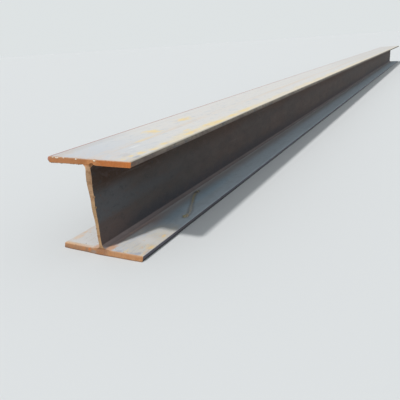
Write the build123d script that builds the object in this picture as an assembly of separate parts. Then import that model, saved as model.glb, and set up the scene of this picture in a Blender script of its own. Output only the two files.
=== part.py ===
"""Wide-flange rolled steel H-beam: one bar of stock, lying on its lower flange.

X runs across the flanges, Y along the bar and Z up the web. The origin is under the middle of the bar.
The far end is sawn square. The near end was cut by hand with a torch, in three passes.
"""
from build123d import *
import os

os.makedirs("parts", exist_ok=True)

# Rolled section, in millimetres
depth = 400
flange_width = 400
web_thickness = 13
flange_thickness = 21
root_radius = 22
toe_radius = 3

# The bar, from the sawn end to the proudest point of the torch cut
length = 12000

# Torch cut: how far a kerf line lies behind the proudest point, at even steps along its pass.
# The flange lines run from the left toe to the right one, and the web lines from the lower root up.
top_flange_upper = [14, 17, 16.5, 14, 15.5, 17.5, 19.5]
top_flange_lower = [4, 6, 9.5, 11, 9, 10, 12.5]
web_right = [21.5, 16.5, 16.5, 16, 13.5, 14.5, 14, 18, 12.5]
web_left = [21, 14.5, 14.5, 12, 7, 7, 1.6, 0.8, 12]
bottom_flange_upper = [22, 23.5, 21.5, 22.5, 24, 25, 26]
bottom_flange_lower = [16.5, 12.5, 12, 8.5, 11, 12, 15.5]
pass_overlap = 1

# Hollows that the flame washed out of the cut end
root_gouge_radius = 14
root_gouge_setback = 14
root_gouge_drop = 7
corner_wash_radius = 13
bite_radius = 6
bite_setback = 16
bite_heights = [204, 248]
nick_radius = 6
nick_setback = 14
nick_lift = 2
nick_places = [-155, -56, 35]

# How far a cutter reaches past the steel
clear = 10

near_end = -length / 2
web_half = web_thickness / 2
flange_half = flange_width / 2
lower_inside = flange_thickness
upper_inside = depth - flange_thickness


def rolled_section():
    """The section in X and Z, with its four root fillets and eight rounded toe corners."""
    outline = Rectangle(flange_width, depth, align=(Align.CENTER, Align.MIN))
    chamber = Rectangle(flange_half - web_half, upper_inside - lower_inside, align=Align.MIN)
    for left_edge in (-flange_half, web_half):
        outline -= Pos(left_edge, lower_inside) * chamber
    roots = outline.vertices().filter_by(lambda corner: abs(corner.X) < flange_half / 2)
    outline = fillet(roots, root_radius)
    toes = outline.vertices().filter_by(lambda corner: abs(corner.X) > flange_half - toe_radius)
    return fillet(toes, toe_radius)


def kerf_loop(start, end, setbacks):
    """Closed loop of a cutter: the kerf line from start to end, and its straight front ahead of the steel.

    start and end are X and Z, and each setback is a depth in Y behind the proudest point.
    """
    start, end = Vector(start[0], 0, start[1]), Vector(end[0], 0, end[1])
    step = (end - start) / (len(setbacks) - 1)
    points = [start + step * i + Vector(0, near_end + setback, 0) for i, setback in enumerate(setbacks)]
    kerf = Spline(*points)
    front = near_end - clear
    rim = Polyline(kerf @ 1, end + Vector(0, front, 0), start + Vector(0, front, 0), kerf @ 0)
    return Wire([kerf, *rim.edges()])


def flange_pass(outside, inside, outer_line, inner_line):
    """Cutter for one flange: the torch goes across X, and the kerf leans between its two lines."""
    reach = flange_half + clear
    outwards = 1 if outside > inside else -1
    heights = [outside + outwards * clear, outside, inside, inside - outwards * pass_overlap]
    lines = [outer_line, outer_line, inner_line, inner_line]
    loops = [kerf_loop((-reach, z), (reach, z), line) for z, line in zip(heights, lines)]
    return Solid.make_loft(loops, ruled=True)


def web_pass():
    """Cutter for the web and its root fillets: the torch goes up Z, and leans from right to left."""
    bottom = lower_inside - pass_overlap
    top = upper_inside + pass_overlap
    reach = web_half + root_radius + clear
    sides = [reach, web_half, -web_half, -reach]
    lines = [web_right, web_right, web_left, web_left]
    loops = [kerf_loop((x, bottom), (x, top), line) for x, line in zip(sides, lines)]
    return Solid.make_loft(loops, ruled=True)


def ball(x, setback, z, radius):
    """Round hollow. Its poles lie along Y, so neither they nor its seam fall on the steel."""
    return Pos(x, near_end + setback, z) * Rot(X=90) * Sphere(radius)


def washed_hollows():
    """The gouge at the right root, the melted left corner, two bites in the web and nicks on the top edge."""
    gouge_x = web_half + root_gouge_radius
    gouge = ball(gouge_x, root_gouge_setback, upper_inside - root_gouge_drop, root_gouge_radius)
    corner = ball(-flange_half, 0, upper_inside, corner_wash_radius)
    bite_x = web_half + bite_radius / 2
    bites = [ball(bite_x, bite_setback, height, bite_radius) for height in bite_heights]
    nicks = [ball(x, nick_setback, depth + nick_lift, nick_radius) for x in nick_places]
    return [gouge, corner, *bites, *nicks]


def h_beam():
    """The rolled bar, less what the torch took off its near end."""
    bar = extrude(Plane.XZ.offset(-near_end) * rolled_section(), -length)
    bar -= flange_pass(depth, upper_inside, top_flange_upper, top_flange_lower)
    bar -= flange_pass(0, lower_inside, bottom_flange_lower, bottom_flange_upper)
    bar -= web_pass()
    for hollow in washed_hollows():
        bar -= hollow
    return bar


export_step(h_beam(), "parts/h_beam.step")
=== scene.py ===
"""Weathered H-beam with a torch-cut end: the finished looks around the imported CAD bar.

X runs across the flanges, Y along the bar and Z up the web, in metres. The torch-cut end is at -Y.
"""
import math
import random

import bpy
from bpy.props import FloatProperty, FloatVectorProperty, PointerProperty
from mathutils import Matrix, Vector


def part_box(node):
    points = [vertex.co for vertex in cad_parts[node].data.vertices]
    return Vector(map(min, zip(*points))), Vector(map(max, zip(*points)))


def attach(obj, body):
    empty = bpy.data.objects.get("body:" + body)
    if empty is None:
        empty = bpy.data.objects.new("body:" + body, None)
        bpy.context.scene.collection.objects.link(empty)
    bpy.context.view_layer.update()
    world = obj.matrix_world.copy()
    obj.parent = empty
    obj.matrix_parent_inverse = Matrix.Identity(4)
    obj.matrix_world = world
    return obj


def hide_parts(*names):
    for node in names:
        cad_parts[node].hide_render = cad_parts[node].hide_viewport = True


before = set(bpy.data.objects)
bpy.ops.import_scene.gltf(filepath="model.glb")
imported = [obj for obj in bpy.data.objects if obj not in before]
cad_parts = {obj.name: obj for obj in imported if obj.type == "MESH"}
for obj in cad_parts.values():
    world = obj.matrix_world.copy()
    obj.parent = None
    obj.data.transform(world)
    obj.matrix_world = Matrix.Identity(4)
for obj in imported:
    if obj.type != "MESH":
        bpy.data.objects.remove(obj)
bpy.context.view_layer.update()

bl_info = {
    "name": "Weathered H-beam",
    "version": (1, 0, 0),
    "blender": (4, 5, 0),
    "location": "3D View > Sidebar > H-beam",
    "description": "Rolled H-beam with mill scale, yard dust, rust and a hand-cut torch end",
    "category": "Add Mesh",
}

BAR = "h_beam"
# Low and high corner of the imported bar's box
LOW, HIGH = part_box(BAR)

# The bar's finishes, in the order of its material slots
ROLLED, CUT, SAWN = range(3)

# Marks in the dust on the top face: place along X and Y, half width, half length and strength
YELLOW_MARKS = (
    (-0.036, -5.463, 0.054, 0.066, 0.90),
    (-0.062, -5.125, 0.046, 0.115, 0.90),
    (0.150, -5.955, 0.016, 0.016, 0.50),
    (0.148, -5.905, 0.017, 0.020, 0.75),
    (0.152, -5.848, 0.027, 0.036, 0.85),
    (0.172, -5.790, 0.023, 0.036, 0.85),
    (0.160, -5.675, 0.026, 0.042, 0.75),
    (0.162, -5.432, 0.036, 0.084, 0.95),
    (0.155, -5.268, 0.038, 0.060, 0.85),
    (0.164, -5.185, 0.036, 0.075, 1.00),
    (0.164, -4.975, 0.032, 0.070, 0.85),
    (0.160, -4.790, 0.034, 0.130, 0.75),
    (0.183, -5.200, 0.013, 0.110, 0.85),
    (0.112, -5.400, 0.018, 0.050, 0.60),
    (0.172, -4.890, 0.016, 0.090, 0.60),
    (0.022, -5.640, 0.018, 0.110, 0.45),
)
BLUE_MARKS = (
    (0.173, -5.908, 0.018, 0.028, 0.85),
    (0.182, -5.690, 0.012, 0.040, 0.50),
    (0.110, -5.900, 0.030, 0.040, 0.35),
)
# Rust marks and grey-violet marks in the dust on the lower flange, written in the same way
RIGHT_RUST_MARKS = (
    (0.183, -5.895, 0.019, 0.038, 0.95),
    (0.162, -5.884, 0.012, 0.018, 0.45),
    (0.174, -5.776, 0.012, 0.022, 0.90),
    (0.108, -5.960, 0.014, 0.026, 0.40),
    (0.189, -5.965, 0.009, 0.024, 0.60),
)
LEFT_RUST_MARKS = (
    (-0.186, -5.862, 0.009, 0.016, 0.80),
    (-0.176, -5.915, 0.022, 0.036, 0.45),
    (-0.172, -5.846, 0.006, 0.009, 0.50),
)
GREY_MARKS = (
    (0.168, -5.962, 0.018, 0.022, 0.85),
    (0.080, -5.973, 0.026, 0.020, 0.80),
    (0.140, -5.975, 0.020, 0.018, 0.45),
    (0.192, -5.933, 0.008, 0.022, 0.80),
)

# Slag beads on the cut's upper edge: place along X, width and share of the full size
BEADS = (
    (-0.155, 0.014, 0.90),
    (-0.056, 0.005, 0.90),
    (0.035, 0.007, 1.00),
    (-0.176, 0.006, 0.60),
    (-0.120, 0.005, 0.55),
)
# Drops of spatter, and crumbs of mud
DROPS, CRUMBS = 84, 16
# Places along X and Y: the mud clod, the start of its trail of crumbs and how far that runs
CLOD_PLACE, TRAIL, TRAIL_RUN = (0.157, -5.557), (0.160, -5.545), (-0.124, 0.355)
# Lumps on the clod: place beside its middle along X and Y, and share of its length
LUMPS = ((0.005, 0.006, 0.34), (-0.004, -0.005, 0.30), (0.006, -0.004, 0.26))

# The stage: the way the sunlight goes, and the camera's place, turn in degrees and lens in millimetres
SUN_WAY = (0.295, 0.765, -1.0)
CAMERA_PLACE = (1.139, -7.219, 0.783)
CAMERA_TURN = (70.442, 3.628, 27.100)
CAMERA_LENS = 39.62


# Sizes and colours that a user would change

def size(label, text, value):
    """A length in metres."""
    return FloatProperty(name=label, description=text, default=value, min=0.0, unit="LENGTH")


def tint(label, text, value):
    """A colour, written as linear red, green and blue."""
    return FloatVectorProperty(name=label, description=text, default=value, min=0.0, max=1.0,
                               size=3, subtype="COLOR")


class BeamSizes(bpy.types.PropertyGroup):
    """Sizes of the rolled section and of the torch cut."""

    skin: size("Skin gap", "How far the finished bar stays inside the packed solid", 0.00005)
    web: size("Web", "Thickness of the web", 0.013)
    flange: size("Flange", "Thickness of each flange", 0.021)
    root: size("Root radius", "Fillet between web and flange", 0.022)
    toe: size("Toe radius", "Rounding of the flange edges", 0.0034)
    collar: size("Collar", "Length of bar behind the cut that is modelled finely", 0.04)
    cell: size("Cell", "Spacing of the points on the torch-cut face", 0.001)
    drag_pitch: size("Drag line pitch", "Spacing of the torch's drag lines", 0.0034)
    drag_depth: size("Drag line depth", "Depth of the torch's drag lines", 0.0005)
    bead: size("Slag bead", "Radius of a slag bead on the cut's upper edge", 0.0036)
    lip: size("Dross lip", "Thickness of the dross under the top flange's cut", 0.0042)
    drop: size("Spatter", "Radius of the largest drop of spatter", 0.0017)
    clod: size("Mud clod", "Length of the clod of dried mud", 0.028)


class BeamColours(bpy.types.PropertyGroup):
    """Base colours of the steel, of what lies on it and of the stage."""

    dust: tint("Dust", "Pale yard dust on the top face", (0.745, 0.712, 0.672))
    cool_dust: tint("Cool dust", "Cooler dust near the cut end", (0.63, 0.645, 0.67))
    dull_dust: tint("Dull dust", "Thinner dust along the left edge", (0.6, 0.575, 0.55))
    # Partly painted sunlight: warmer where the key lamp's patch falls on the lower flange near the cut.
    warm_dust_and_sunlight: tint("Warm dust", "Sandy dust on the lower flange near the cut", (0.66, 0.63, 0.585))
    # Its blue is partly painted skylight shade under the top flange.
    low_dust_and_sky_shade: tint("Lower dust", "Blue-grey dust on the lower flange", (0.57, 0.64, 0.69))
    # Partly painted sunlight: paler where the key lamp's light falls on the lower flange near the cut.
    pale_dust_and_sunlight: tint("Pale dust", "Pale dust left on the lower flange near the cut", (0.715, 0.69, 0.665))
    root_dust: tint("Root dust", "Browner dust beside the lower root", (0.44, 0.42, 0.42))
    tan: tint("Tan", "Tan line in the dust over the web", (0.74, 0.62, 0.51))
    cream: tint("Cream", "Cream band in the dust along the right edge", (0.81, 0.7, 0.52))
    yellow: tint("Yellow", "Pale yellow marks in the dust", (0.88, 0.69, 0.36))
    ochre: tint("Ochre", "Ochre specks in the dust", (0.76, 0.5, 0.24))
    blush: tint("Blush", "Peach stain in the dust near the cut", (0.7, 0.49, 0.35))
    chalk: tint("Chalk", "White chalk mark in the dust on the top face", (0.82, 0.81, 0.79))
    grey_mark: tint("Grey mark", "Grey-violet marks in the dust near the cut", (0.43, 0.43, 0.48))
    smear: tint("Smear", "Grey-violet smears in the dust near the cut", (0.43, 0.42, 0.47))
    cut_rim: tint("Cut rim", "Sunlit rust along the left of the lower flange's cut", (0.73, 0.51, 0.34))
    foot_stain: tint("Foot stain", "Rust stain round the foot of the web's cut", (0.68, 0.4, 0.25))
    worn_edge: tint("Worn edge", "Brown-grey right edge of the top face", (0.45, 0.41, 0.34))
    red_edge: tint("Red edge", "Thin rust line along the left edge", (0.42, 0.17, 0.14))
    scale: tint("Mill scale", "Dark oxide on the web and under the flanges", (0.098, 0.085, 0.08))
    brown: tint("Brown scale", "Browner scale under the top flange", (0.086, 0.06, 0.046))
    # Partly painted shade: this darkest brown stands for the top flange's shadow on the web near the cut.
    umber_and_shade: tint("Umber scale", "Darkest brown, under the top flange near the cut", (0.066, 0.034, 0.021))
    root_brown: tint("Root brown", "Brown band along the lower roots", (0.225, 0.185, 0.18))
    blue: tint("Blue scale", "Bluish scale along the middle of the web", (0.084, 0.085, 0.09))
    navy: tint("Navy scale", "Darker bluish scale low on the web", (0.077, 0.074, 0.083))
    ruddy: tint("Ruddy scale", "Reddish scale low on the web near the cut", (0.125, 0.092, 0.084))
    toe_grey: tint("Toe", "Scuffed edges of the flanges", (0.185, 0.15, 0.13))
    toe_bright: tint("Bright toe", "Brighter upper half of the top flange's edge", (0.285, 0.243, 0.2))
    low_toe: tint("Lower toe", "Purple-grey edge of the lower flange", (0.15, 0.142, 0.172))
    rust: tint("Rust", "Orange rust on the right of the top flange's cut", (0.43, 0.13, 0.025))
    dull_rust: tint("Dull rust", "Browner rust on the left of the top flange's cut", (0.385, 0.153, 0.052))
    fresh_rust: tint("Fresh rust", "Brightest rust on the right of the top cut", (0.52, 0.15, 0.022))
    amber: tint("Amber rust", "Lighter rust in the middle of the top flange's cut", (0.56, 0.245, 0.092))
    deep_rust: tint("Deep rust", "Darker rust at the foot of the web's cut", (0.29, 0.128, 0.056))
    lit_rim: tint("Lit rim", "Pale rust on the upper rim of the lower flange's cut", (0.8, 0.49, 0.28))
    low_rust: tint("Lower rust", "Brown rust on the lower flange's cut", (0.29, 0.155, 0.085))
    peach: tint("Peach rust", "Paler rust on the right of the lower flange's cut", (0.46, 0.225, 0.098))
    web_rust: tint("Web rust", "Tan rust low on the cut web", (0.51, 0.312, 0.158))
    web_tan: tint("Web tan", "Paler tan dust high on the cut web", (0.66, 0.4, 0.225))
    orange: tint("Bright rust", "Fresh orange rust spots", (0.55, 0.16, 0.03))
    # Also laid as painted contact shade along the bottom of the lower flange's cut.
    char: tint("Char", "Dark oxide in the drag lines", (0.1, 0.055, 0.035))
    slag: tint("Slag", "Pale slag beads on the cut's upper edge", (0.78, 0.72, 0.6))
    dross: tint("Dross", "Tan dross under the top flange's cut", (0.46, 0.33, 0.22))
    mud: tint("Mud", "Dried mud on the lower flange", (0.52, 0.44, 0.24))
    crust: tint("Mud crust", "Paler dry crust on the mud", (0.85, 0.8, 0.55))
    dull_crust: tint("Dull crust", "Duller crust on the right of the mud", (0.56, 0.44, 0.33))
    floor: tint("Floor", "Floor as the bar sees it", (0.42, 0.42, 0.41))
    pale_floor: tint("Pale floor", "Floor as the camera sees it", (0.745, 0.745, 0.735))
    fill: tint("Fill light", "Light from all round", (0.86, 0.94, 1.0))
    backdrop: tint("Backdrop", "Backdrop as the camera sees it", (0.73, 0.765, 0.772))


# Small tools that every piece uses

def object_mode():
    """Leaves edit mode, if the bench is in it."""
    if bpy.context.object and bpy.context.object.mode != "OBJECT":
        bpy.ops.object.mode_set(mode="OBJECT")


def clear_bench():
    """Object mode with nothing selected."""
    object_mode()
    bpy.ops.object.select_all(action="DESELECT")


def take(*pieces):
    """Selects these pieces alone, the last one active."""
    clear_bench()
    for piece in pieces:
        piece.select_set(True)
    bpy.context.view_layer.objects.active = pieces[-1]
    return pieces[-1]


def choose(piece, kind, test):
    """In edit mode, selects the points or faces that pass the test."""
    take(piece)
    bpy.ops.object.mode_set(mode="EDIT")
    bpy.ops.mesh.select_mode(type=kind)
    bpy.ops.mesh.select_all(action="DESELECT")
    bpy.ops.object.mode_set(mode="OBJECT")
    parts = {"VERT": piece.data.vertices, "FACE": piece.data.polygons}[kind]
    parts.foreach_set("select", [bool(test(part)) for part in parts])
    bpy.ops.object.mode_set(mode="EDIT")


def cut_across(axis, places):
    """In edit mode, bisects whatever isn't hidden at each place along an axis."""
    normal = [float(axis == i) for i in range(3)]
    for place in places:
        bpy.ops.mesh.select_all(action="SELECT")
        bpy.ops.mesh.bisect(plane_co=[place * n for n in normal], plane_no=normal)


def group_points(piece, name, test):
    """A vertex group of the points that pass the test, at full weight."""
    chosen = [point.index for point in piece.data.vertices if test(point.co)]
    piece.vertex_groups.new(name=name).add(chosen, 1.0, "REPLACE")


def apply_modifier(piece, kind, **settings):
    """Adds a modifier with these settings and applies it."""
    take(piece)
    modifier = piece.modifiers.new(kind.lower(), kind)
    for name, value in settings.items():
        setattr(modifier, name, value)
    bpy.ops.object.modifier_apply(modifier=modifier.name)


def settle(piece, name, *finishes):
    """Names a finished piece, gives it its finishes and lets it ride on the bar's body."""
    take(piece)
    bpy.ops.object.transform_apply()
    piece.name = name
    piece.data.name = name
    for finish in finishes:
        piece.data.materials.append(finish)
    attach(piece, "root")


def steps(low, high, step):
    """Even places between low and high, both ends left out."""
    count = max(int(round((high - low) / step)), 1)
    return [low + (high - low) * i / count for i in range(1, count)]


def meets_bar(start, toward):
    """The place where a straight line first meets the rolled bar."""
    hit, place = bpy.data.objects["rolled_bar"].ray_cast(Vector(start), Vector(toward))[:2]
    if not hit:
        raise RuntimeError("The line misses the bar at " + str(tuple(start)))
    return place


def cut_at(x, z):
    """The place on the bar straight behind a point in front of the cut."""
    return meets_bar((x, LOW.y - 0.1, z), (0.0, 1.0, 0.0))


def lower_flange_at(x, y):
    """The place on top of the lower flange."""
    return meets_bar((x, y, 0.1), (0.0, 0.0, -1.0))


def ball(place, radii, subdivisions=3):
    """A ball with these radii about a place, as the start of a bead, a drop or a clod."""
    clear_bench()
    bpy.ops.mesh.primitive_ico_sphere_add(subdivisions=subdivisions, radius=1.0, location=place, scale=radii)
    return bpy.context.object


def uneven(piece, lump, strength):
    """Presses lumps of about this size into a piece's skin and smooths its shading."""
    lumps = bpy.data.textures.new("lumps", "CLOUDS")
    lumps.noise_scale = lump
    apply_modifier(piece, "DISPLACE", texture=lumps, texture_coords="LOCAL", strength=strength, mid_level=0.5)
    bpy.ops.object.shade_smooth()


def melted(balls, voxel, strength, lump):
    """Joins balls, melts those that touch into one skin, and makes the skin uneven."""
    piece = take(*balls)
    bpy.ops.object.join()
    bpy.ops.object.transform_apply()
    apply_modifier(piece, "REMESH", mode="VOXEL", voxel_size=voxel)
    apply_modifier(piece, "SMOOTH", factor=0.5, iterations=2)
    uneven(piece, lump, strength)
    return piece


def scattered(drop, places):
    """Copies one drop to each place, size and turn, and joins the copies into one piece."""
    drops = []
    for place, scale, turn in places:
        copy = drop.copy()
        copy.data = drop.data.copy()
        bpy.context.scene.collection.objects.link(copy)
        copy.location = place
        copy.scale = scale
        copy.rotation_euler = turn
        drops.append(copy)
    bpy.data.objects.remove(drop)
    piece = take(*drops)
    bpy.ops.object.join()
    return piece


# Materials: one short call for each kind of node

def shade(colour, *by):
    """A plain colour made lighter or darker by one factor, or by one each for red, green and blue."""
    return tuple(part * factor for part, factor in zip(colour, by * 3))


class Finish:
    """A material being mixed from nodes. A world can be given in place of a name."""

    def __init__(self, name):
        if isinstance(name, bpy.types.World):
            self.tree = name.node_tree
            return
        self.material = bpy.data.materials.new(name)
        self.material.use_nodes = True
        self.tree = self.material.node_tree
        self.shader = self.tree.nodes["Principled BSDF"]
        self.coordinates = self.node("TexCoord")["Object"]

    def feed(self, sockets, values):
        """Links each named socket to another node's output, or sets a plain number or colour on it."""
        for name, value in values.items():
            if isinstance(value, bpy.types.NodeSocket):
                self.tree.links.new(value, sockets[name])
            elif hasattr(value, "__len__") and len(value) < len(sockets[name].default_value):
                sockets[name].default_value = (*value, 1.0)
            else:
                sockets[name].default_value = value

    def node(self, kind, values=None, **settings):
        """Adds a node with these settings, feeds these values to it and returns its outputs."""
        made = self.tree.nodes.new("ShaderNode" + kind)
        for name, value in settings.items():
            setattr(made, name, value)
        self.feed(made.inputs, values or {})
        return made.outputs

    def axes(self, vector):
        return tuple(self.node("SeparateXYZ", {0: vector}))

    def faces_up(self):
        """How far the surface itself faces up: 1 upwards and -1 downwards."""
        return self.axes(self.node("NewGeometry")["True Normal"])[2]

    def place(self, scale, turn=(0.0, 0.0, 0.0)):
        """Object coordinates, turned, and scaled by one factor or by one for each axis."""
        scale = scale if isinstance(scale, tuple) else (scale,) * 3
        values = {"Vector": self.coordinates, "Rotation": turn, "Scale": scale}
        return self.node("Mapping", values)[0]

    def noise(self, scale, detail=3.0, rough=0.5, distortion=0.0, turn=(0.0, 0.0, 0.0)):
        values = {"Vector": self.place(scale, turn), "Scale": 1.0, "Detail": detail, "Roughness": rough,
                  "Distortion": distortion}
        return self.node("TexNoise", values)["Fac"]

    def ramp(self, value, low, high, start=0.0, end=1.0):
        """Goes smoothly from start to end as the value goes from low to high."""
        values = {"Value": value, "From Min": low, "From Max": high, "To Min": start, "To Max": end}
        return self.node("MapRange", values, interpolation_type="SMOOTHSTEP")["Result"]

    def calc(self, operation, first, second=0.0):
        return self.node("Math", {0: first, 1: second}, operation=operation)[0]

    def total(self, first, *others):
        for other in others:
            first = self.calc("ADD", first, other)
        return first

    def product(self, *shares):
        """Multiplies shares. Each is a number, a node's output, or a tuple of what ramp takes."""
        shares = [self.ramp(*share) if isinstance(share, tuple) else share for share in shares]
        made = shares[0]
        for share in shares[1:]:
            made = self.calc("MULTIPLY", made, share)
        return made

    def off(self, value, middle=0.0):
        """How far a value lies from a middle, on either side."""
        return self.calc("ABSOLUTE", self.calc("SUBTRACT", value, middle) if middle else value)

    def swing(self, noise, width):
        """A noise that swings about zero, over this width in all."""
        return self.product(self.calc("SUBTRACT", noise, 0.5), width)

    def blend(self, share, under, over, way="MIX"):
        values = {"Factor": share, 6: under, 7: over}
        return self.node("Mix", values, data_type="RGBA", blend_type=way)[2]

    def lay(self, under, over, *shares):
        """Lays one colour over another, as much as the product of the shares says."""
        return self.blend(self.product(*shares), under, over)

    def times(self, colour, *by):
        """A mixed colour made lighter, darker or of another hue by factors for red, green and blue."""
        return self.blend(1.0, colour, by, way="MULTIPLY")

    def blend_values(self, share, under, over):
        """A number between two others, by a share from 0 to 1."""
        return self.node("Mix", {0: share, 2: under, 3: over}, data_type="FLOAT")[0]

    def spot(self, axes, at, reach, soft, ragged_by, ragged):
        """A round or long mark on two axes, soft and ragged at its rim: 1 inside and 0 outside."""
        offs = [self.calc("DIVIDE", self.calc("SUBTRACT", axis, middle), half)
                for axis, middle, half in zip(axes, at, reach)]
        away = self.calc("SQRT", self.total(*[self.product(off, off) for off in offs]))
        return self.ramp(self.total(away, self.swing(ragged_by, 2.0 * ragged)), 1.0, 1.0 - soft)

    def marks(self, under, over, table, axes, soft, ragged_by, ragged):
        """Lays one colour over another in each mark of a table."""
        for place_x, place_y, wide, long, strength in table:
            mark = self.spot(axes, (place_x, place_y), (wide, long), soft, ragged_by, ragged)
            under = self.lay(under, over, mark, strength)
        return under

    def bump(self, height, distance, strength):
        return self.node("Bump", {"Height": height, "Distance": distance, "Strength": strength})[0]

    def seen(self):
        """1 where the camera sees the surface, by itself or in a reflection or through glass."""
        rays = self.node("LightPath")
        mirrored = self.calc("MAXIMUM", rays["Is Glossy Ray"], rays["Is Transmission Ray"])
        return self.calc("MAXIMUM", rays["Is Camera Ray"], mirrored)

    def finish(self, colour, rough, **more):
        """Feeds the shader its colour, its roughness and any more of its sockets."""
        self.feed(self.shader.inputs, {"Base Color": colour, "Roughness": rough, **more})
        return self.material


# Places in the finishes are in metres, on the bar's own axes. The torch cut is at Y -6

def rolled_finish(colours):
    """Mill scale on the sides, pale dust on the upper faces, brown roots and scuffed toes."""
    f = Finish("weathered_mill_scale")
    f.shader.inputs["Specular IOR Level"].default_value = 0.3
    x, y, z = f.axes(f.coordinates)
    up = f.faces_up()
    at_toe = f.ramp(f.off(x), 0.15, 0.16)
    facing_up = f.calc("MAXIMUM", f.ramp(up, 0.8, 0.98), f.product(at_toe, (up, 0.35, 0.8)))
    facing_down = f.ramp(up, -0.8, -0.98)
    upper = f.ramp(z, 0.3, 0.35)
    streaks = f.noise((30.0, 0.9, 30.0), detail=6.0, rough=0.62)
    drift = f.noise((6.0, 1.3, 6.0))
    clouds = f.noise((16.0, 6.0, 16.0), detail=6.0, rough=0.65)
    freckles = f.noise((150.0, 90.0, 150.0), detail=5.0, rough=0.7)
    grit = f.noise((1100.0, 800.0, 1100.0), detail=2.0)
    patches = f.noise((36.0, 20.0, 36.0), detail=8.0, rough=0.66, distortion=0.4)
    steel = side_scale(f, colours, y, z, clouds, drift, streaks, patches)
    low_root = f.lay(colours.root_brown, colours.scale, (clouds, 0.3, 0.7, 0.0, 0.3))
    low_root = f.lay(low_root, f.times(low_root, 1.4, 1.36, 1.33), (y, -5.55, -5.85))
    steel = f.lay(steel, f.lay(low_root, colours.brown, upper), (f.off(up), 0.03, 0.25),
                  (f.off(x), 0.045, 0.032))
    toes = toe_scale(f, colours, x, y, z, upper, clouds, streaks, freckles, patches)
    steel = f.lay(steel, toes, (f.off(x), 0.1955, 0.1985))
    steel = f.lay(steel, f.lay(colours.brown, colours.scale, (clouds, 0.35, 0.65)), facing_down)
    top = top_dust(f, colours, x, y, clouds, drift, streaks, freckles, patches)
    low = lower_dust(f, colours, x, y, clouds, drift, streaks, freckles, patches)
    colour = f.lay(steel, f.lay(low, top, upper), facing_up)
    on_flange = f.ramp(f.off(z, 0.2), 0.168, 0.178)
    colour = f.lay(colour, colours.peach, on_flange, (y, -5.972, -5.985), (freckles, 0.42, 0.6, 0.1, 0.6))
    height = f.total(grit, f.product(freckles, 4.0), f.product(clouds, 8.0))
    rough = f.blend_values(facing_up, f.ramp(freckles, 0.35, 0.65, 0.64, 0.8), 0.92)
    return f.finish(colour, rough, Normal=f.bump(height, 0.00025, 0.6))


def side_scale(f, colours, y, z, clouds, drift, streaks, patches):
    """The web's dark scale: brown under the top flange and darkest there near the cut as painted shade, bluer
    in the middle and warmer far from the cut.
    """
    steel = f.lay(colours.scale, shade(colours.scale, 1.2), (clouds, 0.35, 0.68))
    steel = f.lay(steel, colours.brown, (f.total(z, f.product(drift, 0.1)), 0.26, 0.37))
    steel = f.lay(steel, colours.navy, (f.total(z, f.product(drift, 0.06)), 0.15, 0.08))
    middle = f.spot((y, z), (-5.75, 0.175), (0.55, 0.045), 0.8, clouds, 0.5)
    steel = f.lay(steel, shade(colours.blue, 1.28), middle, 0.8)
    above_stain = f.ramp(f.total(z, f.swing(drift, 0.05)), 0.125, 0.155)
    near = f.lay(colours.ruddy, shade(colours.blue, 1.42), above_stain)
    steel = f.lay(steel, near, (y, -5.68, -5.86), (z, 0.3, 0.24), (clouds, 0.3, 0.6, 0.5, 0.9))
    # Painted shade: umber darkens the web just under the top flange near the cut.
    steel = f.lay(steel, colours.umber_and_shade, (z, 0.245, 0.3), (y, -5.35, -5.62), (y, -5.955, -5.9, 0.6, 1.0), 0.85)
    steel = f.lay(steel, colours.ruddy, (patches, 0.52, 0.66, 0.0, 0.5))
    steel = f.lay(steel, shade(colours.blue, 0.72), (patches, 0.48, 0.34, 0.0, 0.4))
    steel = f.lay(steel, f.times(steel, 1.24, 1.07, 1.0), (y, -5.4, -4.5), (drift, 0.38, 0.6, 0.5, 1.0))
    return f.lay(steel, colours.dust, (streaks, 0.62, 0.8, 0.0, 0.1))


def toe_scale(f, colours, x, y, z, upper, clouds, streaks, freckles, patches):
    """The flanges' side edges: brown-grey with light scuffs above, purple-grey below, with painted contact
    shade at the ground.
    """
    scuffs = f.calc("MAXIMUM", f.ramp(streaks, 0.45, 0.62), f.ramp(clouds, 0.54, 0.64))
    high = f.lay(colours.toe_grey, colours.toe_bright, (z, 0.382, 0.393), (y, -5.85, -5.7))
    high = f.lay(high, f.times(high, 1.3, 1.28, 1.25), scuffs)
    high = f.lay(high, colours.ruddy, (clouds, 0.46, 0.4, 0.0, 0.4))
    high = f.lay(high, shade(colours.blue, 1.65), (patches, 0.53, 0.6, 0.0, 0.6))
    high = f.lay(high, shade(colours.ruddy, 1.25), (patches, 0.45, 0.38, 0.0, 0.5))
    high = f.lay(high, colours.dull_rust, (y, -5.93, -5.98), (freckles, 0.4, 0.56, 0.0, 0.5))
    high = f.lay(high, colours.red_edge, (x, 0.0, -0.1, 0.0, 0.55))
    low = f.lay(colours.low_toe, colours.toe_grey, (clouds, 0.4, 0.6, 0.0, 0.35))
    low = f.lay(low, f.times(low, 1.4, 1.45, 1.5), (y, -5.4, -4.6))
    # Painted contact shade: the lower flange's edge goes dark where it meets the ground.
    ground_shade = f.lay(shade(colours.blue, 0.55), colours.blue, scuffs)
    return f.lay(f.lay(ground_shade, low, (z, 0.003, 0.012)), high, upper)


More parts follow.
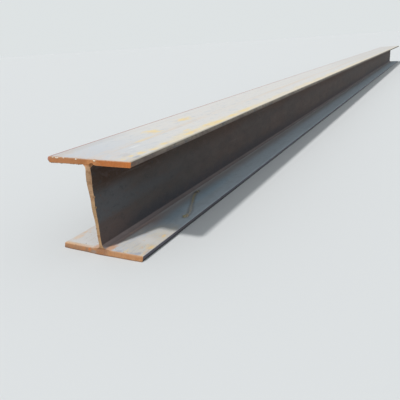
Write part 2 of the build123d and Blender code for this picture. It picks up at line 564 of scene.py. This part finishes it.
def top_dust(f, colours, x, y, clouds, drift, streaks, freckles, patches):
    """Pale dust on the top face, with a tan line over the web and cream and yellow marks on the right."""
    dust = f.lay(colours.dust, shade(colours.dust, 0.86), (streaks, 0.4, 0.75, 0.0, 0.3))
    dust = f.lay(dust, colours.cool_dust, (y, -5.35, -5.93), (x, 0.12, -0.04, 0.45, 0.9))
    wander = f.swing(drift, 0.05)
    across = f.total(x, wander)
    dust = f.lay(dust, colours.dull_dust, (across, -0.12, -0.17), (y, -5.3, -5.93, 0.0, 0.8))
    dust = f.lay(dust, colours.tan, (across, -0.016, 0.008), (across, 0.05, 0.02),
                 (streaks, 0.38, 0.6, 0.12, 0.6))
    by_cut = f.total(f.ramp(y, -5.8, -5.93, 0.0, 0.2), f.ramp(y, -5.95, -5.975, 0.0, 0.15))
    dust = f.lay(dust, colours.blush, by_cut, (patches, 0.55, 0.42, 0.3, 1.0))
    ragged = f.total(x, f.swing(clouds, 0.12), f.swing(freckles, 0.05))
    dust = f.lay(dust, colours.cream, (ragged, 0.118, 0.158), (y, -5.85, -5.6, 0.3, 1.0),
                 (streaks, 0.34, 0.6, 0.55, 1.0))
    dust = f.lay(dust, colours.yellow, (x, 0.08, 0.15), (freckles, 0.5, 0.66), (clouds, 0.46, 0.6),
                 (y, -2.0, -5.2, 0.15, 0.6))
    dust = f.lay(dust, shade(colours.cool_dust, 0.9), (patches, 0.5, 0.68, 0.0, 0.5))
    dust = f.lay(dust, colours.tan, (patches, 0.44, 0.3, 0.0, 0.45))
    mottled = f.lay(colours.yellow, shade(colours.blush, 1.15), (patches, 0.5, 0.64, 0.0, 0.8))
    dust = f.marks(dust, mottled, YELLOW_MARKS, (x, y), 0.85, patches, 1.3)
    dust = f.marks(dust, shade(colours.cool_dust, 0.8), BLUE_MARKS, (x, y), 0.85, patches, 1.3)
    dust = f.lay(dust, shade(colours.dust, 0.8), (y, -2.5, 2.0, 0.0, 0.4))
    dust = f.lay(dust, colours.chalk, f.spot((x, y), (0.062, -5.765), (0.012, 0.045), 0.8, patches, 0.9), 0.7)
    dust = f.lay(dust, f.times(dust, 0.86, 0.86, 0.86), (x, 0.15, 0.175), (y, -5.86, -5.93), 0.75)
    worn = f.lay(colours.worn_edge, shade(colours.worn_edge, 0.8), (y, -5.1, -4.6))
    edge = f.ramp(f.total(x, f.product(wander, 0.25)), 0.184, 0.197)
    dust = f.lay(dust, worn, edge, (streaks, 0.3, 0.55, 0.5, 0.95))
    return f.lay(dust, colours.red_edge, (x, -0.1885, -0.192), (freckles, 0.3, 0.45))


def lower_dust(f, colours, x, y, clouds, drift, streaks, freckles, patches):
    """Blue-grey dust on the lower flange, its blue partly painted skylight shade, browner at the root, and
    near the cut paler, partly as painted sunlight, and stained with rust.
    """
    # Dust whose blue-grey is partly painted skylight shade.
    dust = f.lay(colours.low_dust_and_sky_shade, shade(colours.low_dust_and_sky_shade, 0.86), (streaks, 0.35, 0.7, 0.0, 0.4))
    dust = f.lay(dust, shade(colours.low_dust_and_sky_shade, 0.75), (patches, 0.46, 0.64, 0.0, 0.35))
    front = f.ramp(f.total(y, f.product(clouds, 0.3)), -5.45, -5.65)
    left = f.ramp(x, 0.0, -0.03)
    # Near the cut the dust is warmer and paler, partly as painted sunlight where the key lamp's patch falls.
    dust_and_sunlight_tints = f.lay(colours.warm_dust_and_sunlight, shade(colours.cool_dust, 0.94), (patches, 0.42, 0.58))
    dust = f.lay(dust, dust_and_sunlight_tints, front)
    dust = f.lay(dust, shade(colours.cream, 0.85), front, (x, 0.08, 0.13), (drift, 0.42, 0.58), 0.35)
    # A paler spot in the key lamp's patch: partly painted sunlight.
    pale = f.spot((x, y), (0.128, -5.845), (0.07, 0.06), 0.8, clouds, 0.4)
    dust = f.lay(dust, colours.pale_dust_and_sunlight, pale, 0.85)
    dust = f.marks(dust, colours.grey_mark, GREY_MARKS, (x, y), 0.8, patches, 0.8)
    smears = f.noise((120.0, 14.0, 30.0), detail=5.0, rough=0.6, turn=(0.0, 0.0, 0.5))
    dust = f.lay(dust, colours.smear, (y, -5.84, -5.95), (smears, 0.5, 0.62), (x, 0.05, 0.07), 0.55)
    # Paler dust on the left near the cut, partly painted sunlight.
    dust = f.lay(dust, colours.pale_dust_and_sunlight, front, left, (patches, 0.66, 0.5, 0.6, 1.0))
    pink_edge = f.ramp(f.total(x, f.product(patches, 0.14)), -0.09, -0.13)
    dust = f.lay(dust, colours.blush, front, pink_edge, (clouds, 0.35, 0.6, 0.15, 0.42))
    root = f.lay(colours.root_dust, shade(colours.root_dust, 0.98, 0.78, 0.72), (y, -5.5, -5.7))
    away = f.ramp(f.total(f.off(x), f.product(clouds, 0.03)), 0.045, 0.125)
    near_away = f.ramp(f.total(x, f.product(clouds, 0.02)), 0.035, 0.056)
    past_root = f.calc("MAXIMUM", f.blend_values(front, away, near_away), f.product(front, left))
    dust = f.lay(root, dust, past_root)
    dim = f.spot((x, y), (0.095, -5.58), (0.062, 0.15), 0.8, clouds, 0.3)
    dust = f.lay(dust, f.times(dust, 0.78, 0.84, 0.88), dim, 0.8)
    cool = f.spot((x, y), (0.085, -5.2), (0.06, 0.5), 0.8, clouds, 0.3)
    dust = f.lay(dust, f.times(dust, 0.76, 0.9, 0.98), cool, 0.7)
    dust = f.lay(dust, colours.ochre, front, (patches, 0.56, 0.66), (freckles, 0.4, 0.52), 0.55)
    tone = f.lay(colours.ochre, colours.yellow, 0.5)
    dust = f.marks(dust, tone, RIGHT_RUST_MARKS, (x, y), 0.8, patches, 1.0)
    tone = f.lay(colours.ochre, shade(colours.blush, 1.25), 0.5)
    dust = f.marks(dust, tone, LEFT_RUST_MARKS, (x, y), 0.8, patches, 1.0)
    dust = f.lay(dust, colours.cut_rim, (y, -5.958, -5.972), (x, -0.04, -0.15, 0.5, 1.0), (x, 0.02, -0.02),
                 (freckles, 0.3, 0.5, 0.6, 1.0))
    reach = f.total(f.off(x), f.swing(patches, 0.06))
    dust = f.lay(dust, colours.foot_stain, (reach, 0.054, 0.04), (y, -5.915, -5.95),
                 (x, -0.06, -0.03, 0.6, 1.0), (clouds, 0.3, 0.6, 0.65, 0.95))
    trail_x = f.calc("SUBTRACT", x, f.ramp(y, -5.57, -5.19, 0.16, 0.036))
    beside = f.off(f.total(trail_x, f.swing(clouds, 0.03)))
    along = f.product((y, -5.585, -5.56), (y, -5.17, -5.21))
    dust = f.lay(dust, shade(colours.root_dust, 0.7), along, (beside, 0.022, 0.01), 0.55)
    trail = f.lay(colours.warm_dust_and_sunlight, colours.mud, (y, -5.5, -5.3))
    dust = f.lay(dust, trail, along, (beside, 0.008, 0.003), (freckles, 0.35, 0.5), 0.85)
    scuff = f.spot((x, y), (0.038, -5.215), (0.016, 0.04), 0.7, clouds, 0.7)
    return f.lay(dust, shade(colours.root_dust, 0.35), scuff, 0.75)


def cut_finish(colours):
    """Rust on the torch-cut faces, orange on the flanges and dull tan on the web, with drag lines in it and
    painted shade low on the lower flange's cut.
    """
    f = Finish("torch_cut_rust")
    x, _, z = f.axes(f.coordinates)
    flanges = f.ramp(f.off(z, 0.2), 0.166, 0.182)
    across_flange = f.noise((300.0, 40.0, 30.0), detail=4.0, distortion=0.6, turn=(0.0, 0.12, 0.0))
    across_web = f.noise((30.0, 40.0, 300.0), detail=4.0, distortion=0.6, turn=(0.0, 0.12, 0.0))
    drag = f.blend_values(flanges, across_web, across_flange)
    blotches = f.noise(45.0, detail=5.0, rough=0.6)
    fine = f.noise(420.0, detail=4.0, rough=0.65)
    top = f.lay(colours.dull_rust, colours.rust, (f.total(x, f.product(blotches, 0.1)), 0.0, 0.14))
    low = f.lay(colours.low_rust, colours.peach, (blotches, 0.36, 0.7, 0.2, 0.9))
    low = f.lay(low, colours.peach, (f.total(x, f.product(blotches, 0.08)), 0.02, 0.13))
    low = f.lay(low, colours.deep_rust, (f.off(x), 0.036, 0.014), (z, 0.06, 0.03), 0.85)
    # Painted shade: darker and bluer low on the left of the lower flange's cut.
    low = f.lay(low, f.times(low, 0.78, 0.78, 0.84), (x, -0.04, -0.07), (z, 0.014, 0.006), 0.8)
    colour = f.lay(low, top, (z, 0.1, 0.3))
    middle = f.spot((x, z), (0.022, 0.39), (0.045, 0.03), 0.8, blotches, 0.5)
    colour = f.lay(colour, colours.amber, middle, 0.7)
    colour = f.lay(colour, colours.fresh_rust, (x, 0.15, 0.18), (z, 0.1, 0.3), 0.8)
    web = f.lay(colours.web_rust, colours.web_tan, (z, 0.2, 0.28))
    web = f.lay(web, colours.low_rust, (blotches, 0.5, 0.66, 0.0, 0.3))
    colour = f.lay(web, colour, flanges)
    colour = f.lay(colour, colours.char, (drag, 0.32, 0.48, 0.22, 0.0))
    colour = f.lay(colour, colours.dull_rust, (blotches, 0.5, 0.68, 0.0, 0.4))
    colour = f.lay(colour, colours.ochre, (fine, 0.56, 0.7, 0.0, 0.4))
    lit = f.lay(colours.blush, colours.lit_rim, (x, -0.1, -0.15))
    colour = f.lay(colour, lit, (z, 0.0155, 0.0195), (z, 0.03, 0.022), (fine, 0.35, 0.5, 0.4, 0.9),
                   (f.off(x), 0.03, 0.05), (x, -0.05, 0.05, 0.8, 0.45))
    # Painted contact shade: the bottom of the lower flange's cut goes dark where it meets the ground.
    colour = f.lay(colour, colours.char, (z, 0.0045, 0.0012, 0.0, 0.6))
    colour = f.lay(colour, colours.blush, (z, 0.396, 0.3992), (fine, 0.4, 0.55, 0.1, 0.8))
    for tone, at, reach, soft, strength in (
            (colours.red_edge, (-0.198, 0.392), (0.01, 0.012), 0.7, 0.6),
            (colours.orange, (-0.062, 0.0125), (0.011, 0.008), 0.6, 0.65),
            (shade(colours.toe_grey, 1.3), (-0.039, 0.007), (0.018, 0.007), 0.6, 0.75)):
        colour = f.lay(colour, tone, f.spot((x, z), at, reach, soft, fine, 0.4), strength)
    height = f.total(f.product(drag, 1.5), fine)
    return f.finish(colour, f.ramp(blotches, 0.3, 0.7, 0.72, 0.92), Normal=f.bump(height, 0.0005, 0.6))


def sawn_finish(colours):
    """Fine brown-grey saw marks on the far end."""
    f = Finish("sawn_steel")
    lines = f.noise((30.0, 30.0, 1300.0), detail=2.0, turn=(0.0, 0.1, 0.0))
    sweeps = f.noise((4.0, 4.0, 120.0), turn=(0.0, 0.1, 0.0))
    blotches = f.noise(30.0, detail=5.0, rough=0.65)
    colour = f.lay(shade(colours.scale, 2.2), colours.dull_rust, (blotches, 0.42, 0.62))
    colour = f.lay(colour, colours.scale, (lines, 0.35, 0.65, 0.0, 0.35))
    colour = f.lay(colour, colours.toe_grey, (sweeps, 0.5, 0.62, 0.0, 0.3))
    rough = f.ramp(blotches, 0.4, 0.6, 0.42, 0.8)
    metal = f.ramp(blotches, 0.6, 0.42, 0.0, 0.6)
    return f.finish(colour, rough, Metallic=metal, Normal=f.bump(f.total(lines, sweeps), 0.0003, 0.6))


def slag_finish(name, colours, base, darker):
    """Slag and dross: a pale or tan skin with darker pits and a slight gloss."""
    f = Finish(name)
    pits = f.noise(1400.0, rough=0.6)
    colour = f.lay(base, darker, (f.noise(220.0, detail=4.0, rough=0.6), 0.45, 0.66))
    colour = f.lay(colour, colours.char, (pits, 0.42, 0.34))
    return f.finish(colour, f.ramp(pits, 0.35, 0.6, 0.75, 0.5), Normal=f.bump(pits, 0.0003, 0.7))


def mud_finish(colours):
    """Dried mud: khaki with paler dry crusts and fine cracks."""
    f = Finish("dried_mud")
    x = f.axes(f.coordinates)[0]
    crumbly = f.noise(180.0, detail=5.0, rough=0.65)
    cracks = f.node("TexVoronoi", {"Vector": f.place(260.0)}, feature="DISTANCE_TO_EDGE")
    gap = f.ramp(cracks["Distance"], 0.07, 0.0)
    colour = f.lay(colours.mud, colours.crust, (crumbly, 0.4, 0.62))
    colour = f.lay(colour, colours.dull_crust, (x, 0.158, 0.168), 0.8)
    colour = f.lay(colour, colours.char, gap, 0.6)
    height = f.calc("SUBTRACT", f.total(crumbly, f.product(f.noise(1500.0), 0.3)), gap)
    return f.finish(colour, 0.95, Normal=f.bump(height, 0.0007, 0.8))


# The bar

def rolled_outline(sizes):
    """The section as one flat face at the sawn end, with its root fillets and rounded toes."""
    width = HIGH.x - LOW.x - 2 * sizes.skin
    depth = HIGH.z - LOW.z - 2 * sizes.skin
    middle = (LOW.z + HIGH.z) / 2
    end = HIGH.y - sizes.skin
    clear_bench()
    bpy.ops.mesh.primitive_plane_add(size=1.0, location=(0.0, end, middle), rotation=(math.pi / 2, 0.0, 0.0))
    bar = bpy.context.object
    bar.scale = (width, depth, 1.0)
    bpy.ops.object.transform_apply()
    web = sizes.web / 2 - sizes.skin
    lower = LOW.z + sizes.flange - sizes.skin
    upper = HIGH.z - sizes.flange + sizes.skin
    choose(bar, "FACE", lambda face: True)
    cut_across(0, (-web, web))
    cut_across(2, (lower, upper))
    choose(bar, "FACE", lambda face: abs(face.center.x) > web and lower < face.center.z < upper)
    bpy.ops.mesh.delete(type="FACE")
    bpy.ops.mesh.select_all(action="SELECT")
    bpy.ops.mesh.dissolve_limited(angle_limit=0.01)
    choose(bar, "VERT", lambda point: abs(point.co.x) < 2 * web)
    bpy.ops.mesh.bevel(affect="VERTICES", offset=sizes.root, segments=16, profile=0.5)
    choose(bar, "VERT", lambda point: abs(point.co.x) > width / 2 - 0.001)
    bpy.ops.mesh.bevel(affect="VERTICES", offset=sizes.toe, segments=5, profile=0.5)
    object_mode()
    return bar


def drawn_out(bar, sizes):
    """Draws the section out along the bar, up to a loose end in front of the torch cut."""
    stops = [5.0, 0.0, -5.0, LOW.y + sizes.collar, LOW.y - sizes.collar]
    choose(bar, "FACE", lambda face: True)
    here = bar.data.vertices[0].co.y
    for stop in stops:
        bpy.ops.mesh.extrude_region_move(TRANSFORM_OT_translate={"value": (0.0, stop - here, 0.0)})
        here = stop
    object_mode()


def torch_cut(bar, sizes):
    """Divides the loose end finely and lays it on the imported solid's cut, then scores the drag lines."""
    front = LOW.y - sizes.collar / 2
    choose(bar, "FACE", lambda face: face.center.y < front)
    bpy.ops.mesh.hide(unselected=True)
    cut_across(0, steps(LOW.x, HIGH.x, sizes.cell))
    cut_across(2, steps(LOW.z, HIGH.z, sizes.cell))
    bpy.ops.mesh.reveal(select=False)
    object_mode()
    for face in bar.data.polygons:
        if face.normal.y < -0.5:
            face.material_index = CUT
        elif face.normal.y > 0.5:
            face.material_index = SAWN
    group_points(bar, "torch cut", lambda place: place.y < front)
    apply_modifier(bar, "SHRINKWRAP", target=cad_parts[BAR], wrap_method="PROJECT", use_project_y=True,
                   vertex_group="torch cut")
    web_low, web_high = LOW.z + sizes.flange, HIGH.z - sizes.flange
    behind = front + sizes.collar
    group_points(bar, "flange passes", lambda at: at.y < behind and not web_low < at.z < web_high)
    group_points(bar, "web pass", lambda at: at.y < behind and web_low < at.z < web_high)
    score(bar, "flange passes", sizes, along="X", across="Z")
    score(bar, "web pass", sizes, along="Z", across="X")


def unrolled_map(bar, outline):
    """A map of the bar: its outline unrolled as one long strip, with the cut end and the sawn end below it.

    The first metre behind the cut gets a quarter of the strip's length, because its marks are the finest.
    """
    rim, near, near_end = 0.004, 1.0, 0.25
    far = HIGH.y - LOW.y - near
    strip_low, strip_height = 0.33, 0.665
    end_scale, end_low, cut_left, sawn_left = 0.75, 0.01, 0.01, 0.36
    strip = bar.data.uv_layers.new(name="OFBake")
    sides = []
    reached = 0.0
    for start, end in zip(outline, outline[1:] + outline[:1]):
        length = (end - start).length
        sides.append((start, (end - start) / length, length, reached))
        reached += length

    def wall_place(point, side):
        start, way, length, before = side
        along = min(max((point.xz - start).dot(way), 0.0), length)
        behind = point.y - LOW.y
        if behind < near:
            across = rim + (near_end - rim) * behind / near
        else:
            across = near_end + (1.0 - rim - near_end) * (behind - near) / far
        return across, strip_low + strip_height * (before + along) / reached

    def how_far(side, middle):
        start, way, length, before = side
        along = min(max((middle - start).dot(way), 0.0), length)
        return (start + way * along - middle).length

    for face in bar.data.polygons:
        middle = face.center.xz
        side = min(sides, key=lambda one: how_far(one, middle)) if face.material_index == ROLLED else None
        for corner in face.loop_indices:
            point = bar.data.vertices[bar.data.loops[corner].vertex_index].co
            if side:
                strip.data[corner].uv = wall_place(point, side)
            else:
                left = cut_left if face.material_index == CUT else sawn_left
                across = left + end_scale * (point.x - LOW.x)
                strip.data[corner].uv = (across, end_low + end_scale * point.z)


def score(bar, group, sizes, along, across):
    """Presses a torch's drag lines into the cut. They lag behind its travel towards the far side."""
    guide = bpy.data.objects.new("drag guide", None)
    bpy.context.scene.collection.objects.link(guide)
    band = sizes.drag_pitch / (math.pi / 5)
    reach = {along: band, across: band * 5, "Y": 10.0}
    guide.scale = [reach[axis] for axis in "XYZ"]
    lines = bpy.data.textures.new("drag lines", "WOOD")
    lines.wood_type = "BANDNOISE"
    lines.noise_scale = 1.2
    lines.turbulence = 4.0
    apply_modifier(bar, "DISPLACE", texture=lines, texture_coords="OBJECT", texture_coords_object=guide,
                   direction="Y", mid_level=0.0, strength=sizes.drag_depth, vertex_group=group)
    bpy.data.objects.remove(guide)


class HBEAM_OT_roll_bar(bpy.types.Operator):
    """Model the rolled bar with its torch-cut end"""

    bl_idname = "hbeam.roll_bar"
    bl_label = "Roll the bar"

    def execute(self, context):
        sizes = context.scene.beam_sizes
        colours = context.scene.beam_colours
        bar = rolled_outline(sizes)
        outline = [bar.data.vertices[i].co.xz for i in bar.data.polygons[0].vertices]
        drawn_out(bar, sizes)
        choose(bar, "FACE", lambda face: True)
        bpy.ops.mesh.normals_make_consistent(inside=False)
        torch_cut(bar, sizes)
        unrolled_map(bar, outline)
        settle(bar, "rolled_bar", rolled_finish(colours), cut_finish(colours), sawn_finish(colours))
        take(bar)
        bpy.ops.object.shade_smooth_by_angle(angle=math.radians(35.0))
        apply_modifier(bar, "WEIGHTED_NORMAL", mode="FACE_AREA", weight=100, keep_sharp=True)
        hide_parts(BAR)
        return {"FINISHED"}


class HBEAM_OT_slag_beads(bpy.types.Operator):
    """Set pale slag beads in the nicks along the cut's upper edge"""

    bl_idname = "hbeam.slag_beads"
    bl_label = "Set the slag beads"

    def execute(self, context):
        bead = context.scene.beam_sizes.bead
        colours = context.scene.beam_colours
        chance = random.Random(3)
        ceiling = HIGH.z - 0.0004
        balls = []
        for at_x, across, share in BEADS:
            for side in (-1.0, 0.0, 1.0):
                radius = bead * share * chance.uniform(0.75, 1.0)
                x = at_x + side * across * 0.4
                height = ceiling - radius * 1.35
                lip = cut_at(x, height)
                balls.append(ball((x, lip.y + radius * 0.45, height), (radius * 1.25, radius * 1.1, radius)))
        beads = melted(balls, voxel=0.0005, strength=0.0006, lump=0.003)
        pale = slag_finish("pale_slag", colours, colours.slag, colours.ochre)
        settle(beads, "slag_beads", pale)
        return {"FINISHED"}


class HBEAM_OT_dross(bpy.types.Operator):
    """Hang the dross under the top flange's cut and down the web's edges"""

    bl_idname = "hbeam.dross"
    bl_label = "Hang the dross"

    def execute(self, context):
        sizes = context.scene.beam_sizes
        colours = context.scene.beam_colours
        chance = random.Random(11)
        finish = slag_finish("torch_dross", colours, colours.dross, colours.dull_rust)
        flange_lip = melted(self.under_flange(sizes, chance), voxel=0.0007, strength=0.0010, lump=0.0035)
        settle(flange_lip, "flange_dross", finish)
        web_lip = melted(self.beside_web(sizes, chance), voxel=0.0006, strength=0.0009, lump=0.003)
        dark = shade(colours.dross, 0.4)
        settle(web_lip, "web_dross", slag_finish("web_dross", colours, dark, colours.scale))
        return {"FINISHED"}

    def under_flange(self, sizes, chance):
        """Balls along the lower edge of the top flange's cut, thicker on the left, with a few drips."""
        under = HIGH.z - sizes.flange
        balls = []
        x = LOW.x + 0.011
        while x < HIGH.x - 0.006:
            left = x < -0.03
            radius = sizes.lip / 2 * (chance.uniform(0.65, 1.25) if left else chance.uniform(0.35, 0.75))
            if abs(x) > sizes.web / 2 + sizes.root + 0.002 and (left or chance.random() < 0.55):
                edge = cut_at(x, under + 0.0012)
                drip = radius * (chance.uniform(1.2, 1.7) if chance.random() < 0.12 else 1.0)
                balls.append(ball((x, edge.y + radius * 0.9 + 0.0004, under + 0.0004 - drip * 0.35),
                                  (radius * 1.3, radius, drip)))
            x += chance.uniform(0.0022, 0.0036)
        return balls

    def beside_web(self, sizes, chance):
        """Small lumps down both side edges of the cut web."""
        low = LOW.z + sizes.flange + sizes.root
        high = HIGH.z - sizes.flange - sizes.root
        balls = []
        for side in (-1.0, 1.0):
            z = low
            while z < high:
                radius = chance.uniform(0.0009, 0.0021)
                x = side * (sizes.web / 2 - 0.0006)
                edge = cut_at(x, z)
                if chance.random() < 0.62:
                    balls.append(ball((x + side * radius * 0.3, edge.y + radius * 1.2, z),
                                      (radius, radius * 1.5, radius * 1.3)))
                z += chance.uniform(0.003, 0.008)
        return balls


class HBEAM_OT_spatter(bpy.types.Operator):
    """Throw fine spatter on the web and the lower flange behind the cut"""

    bl_idname = "hbeam.spatter"
    bl_label = "Throw the spatter"

    def execute(self, context):
        sizes = context.scene.beam_sizes
        colours = context.scene.beam_colours
        chance = random.Random(29)
        places = []
        for i in range(DROPS):
            scale = sizes.drop * chance.uniform(0.3, 1.0) ** 1.5
            back = LOW.y + 0.026 + 0.11 * chance.random() ** 1.7
            side = 1.0 if chance.random() < 0.6 else -1.0
            turn = (0.0, 0.0, chance.uniform(0.0, 3.0))
            if chance.random() < 0.55:
                place = meets_bar((side * 0.1, back, chance.uniform(0.05, 0.33)), (-side, 0.0, 0.0))
                reach = (scale * 0.6, scale * 1.2, scale)
                turn = (turn[2], 0.0, 0.0)
            else:
                place = lower_flange_at(side * chance.uniform(0.03, 0.19), back)
                reach = (scale, scale * 1.2, scale * 0.6)
            places.append((place, reach, turn))
        drop = ball((0.0, 0.0, 0.0), (1.0, 1.0, 1.0), subdivisions=2)
        uneven(drop, lump=1.2, strength=0.5)
        drops = scattered(drop, places)
        rusty = slag_finish("spatter_drops", colours, shade(colours.dull_rust, 0.6), colours.char)
        settle(drops, "spatter", rusty)
        return {"FINISHED"}


class HBEAM_OT_mud(bpy.types.Operator):
    """Drop a clod of dried mud on the lower flange, with crumbs along its trail"""

    bl_idname = "hbeam.mud"
    bl_label = "Drop the mud"

    def execute(self, context):
        clod = context.scene.beam_sizes.clod
        colours = context.scene.beam_colours
        chance = random.Random(5)
        lie = lower_flange_at(*CLOD_PLACE)
        balls = [ball(lie + Vector((0.0, 0.0, clod * 0.10)), (clod * 0.30, clod * 0.5, clod * 0.20))]
        for across, along, share in LUMPS:
            lump = clod * share
            balls.append(ball(lie + Vector((across, along, lump * 0.45)), (lump * 0.8, lump, lump * 0.7)))
        for i in range(CRUMBS):
            along = chance.random() ** 1.4
            crumb = clod * chance.uniform(0.03, 0.10)
            x = TRAIL[0] + TRAIL_RUN[0] * along + chance.uniform(-0.008, 0.008)
            rest = lower_flange_at(x, TRAIL[1] + TRAIL_RUN[1] * along)
            balls.append(ball(rest + Vector((0.0, 0.0, crumb * 0.3)), (crumb, crumb * 1.3, crumb * 0.7)))
        mud = melted(balls, voxel=0.0006, strength=0.0022, lump=0.004)
        settle(mud, "mud_clod", mud_finish(colours))
        return {"FINISHED"}


class HBEAM_OT_set_stage(bpy.types.Operator):
    """Lay the floor and set the lights and the camera"""

    bl_idname = "hbeam.set_stage"
    bl_label = "Set the stage"

    def execute(self, context):
        scene = context.scene
        colours = scene.beam_colours
        scene.view_settings.view_transform = "Standard"
        clear_bench()
        bpy.ops.mesh.primitive_plane_add(size=1600.0, location=(0.0, 0.0, LOW.z - 0.0004))
        floor = context.object
        floor.name = "floor"
        paint = Finish("floor_paint")
        coat = paint.lay(colours.floor, colours.pale_floor, paint.seen())
        floor.data.materials.append(paint.finish(coat, 0.9))
        scene.world = bpy.data.worlds.new("studio")
        scene.world.use_nodes = True
        sky = Finish(scene.world)
        fill = sky.tree.nodes["Background"]
        sky.feed(fill.inputs, {"Color": colours.fill, "Strength": 0.5})
        backdrop = sky.node("Background", {"Color": colours.backdrop})
        chosen = sky.node("MixShader", {0: sky.seen(), 1: fill.outputs[0], 2: backdrop[0]})
        sky.feed(sky.tree.nodes["World Output"].inputs, {0: chosen[0]})
        bpy.ops.object.light_add(type="SUN", location=(0.0, -8.0, 10.0))
        key = context.object
        key.name = "key"
        key.data.angle = math.radians(4.0)
        key.data.energy = 2.2
        key.rotation_mode = "QUATERNION"
        key.rotation_quaternion = Vector(SUN_WAY).to_track_quat("-Z", "Y")
        turn = [math.radians(angle) for angle in CAMERA_TURN]
        bpy.ops.object.camera_add(location=CAMERA_PLACE, rotation=turn)
        camera = context.object
        camera.data.lens = CAMERA_LENS
        camera.data.sensor_width = 36.0
        camera.data.clip_end = 2000.0
        scene.camera = camera
        return {"FINISHED"}


class HBEAM_PT_panel(bpy.types.Panel):
    """The makers of the beam's pieces"""

    bl_idname = "HBEAM_PT_panel"
    bl_label = "H-beam"
    bl_space_type = "VIEW_3D"
    bl_region_type = "UI"
    bl_category = "H-beam"

    def draw(self, context):
        for maker in MAKERS:
            self.layout.operator(maker.bl_idname)


MAKERS = (HBEAM_OT_roll_bar, HBEAM_OT_slag_beads, HBEAM_OT_dross, HBEAM_OT_spatter, HBEAM_OT_mud,
          HBEAM_OT_set_stage)
CLASSES = (BeamSizes, BeamColours, *MAKERS, HBEAM_PT_panel)


def register():
    for part in CLASSES:
        bpy.utils.register_class(part)
    bpy.types.Scene.beam_sizes = PointerProperty(type=BeamSizes)
    bpy.types.Scene.beam_colours = PointerProperty(type=BeamColours)


def unregister():
    del bpy.types.Scene.beam_colours
    del bpy.types.Scene.beam_sizes
    for part in reversed(CLASSES):
        bpy.utils.unregister_class(part)


def main():
    """Makes every piece and the stage."""
    register()
    bpy.ops.hbeam.roll_bar()
    bpy.ops.hbeam.slag_beads()
    bpy.ops.hbeam.dross()
    bpy.ops.hbeam.spatter()
    bpy.ops.hbeam.mud()
    bpy.ops.hbeam.set_stage()


if __name__ == "__main__":
    main()
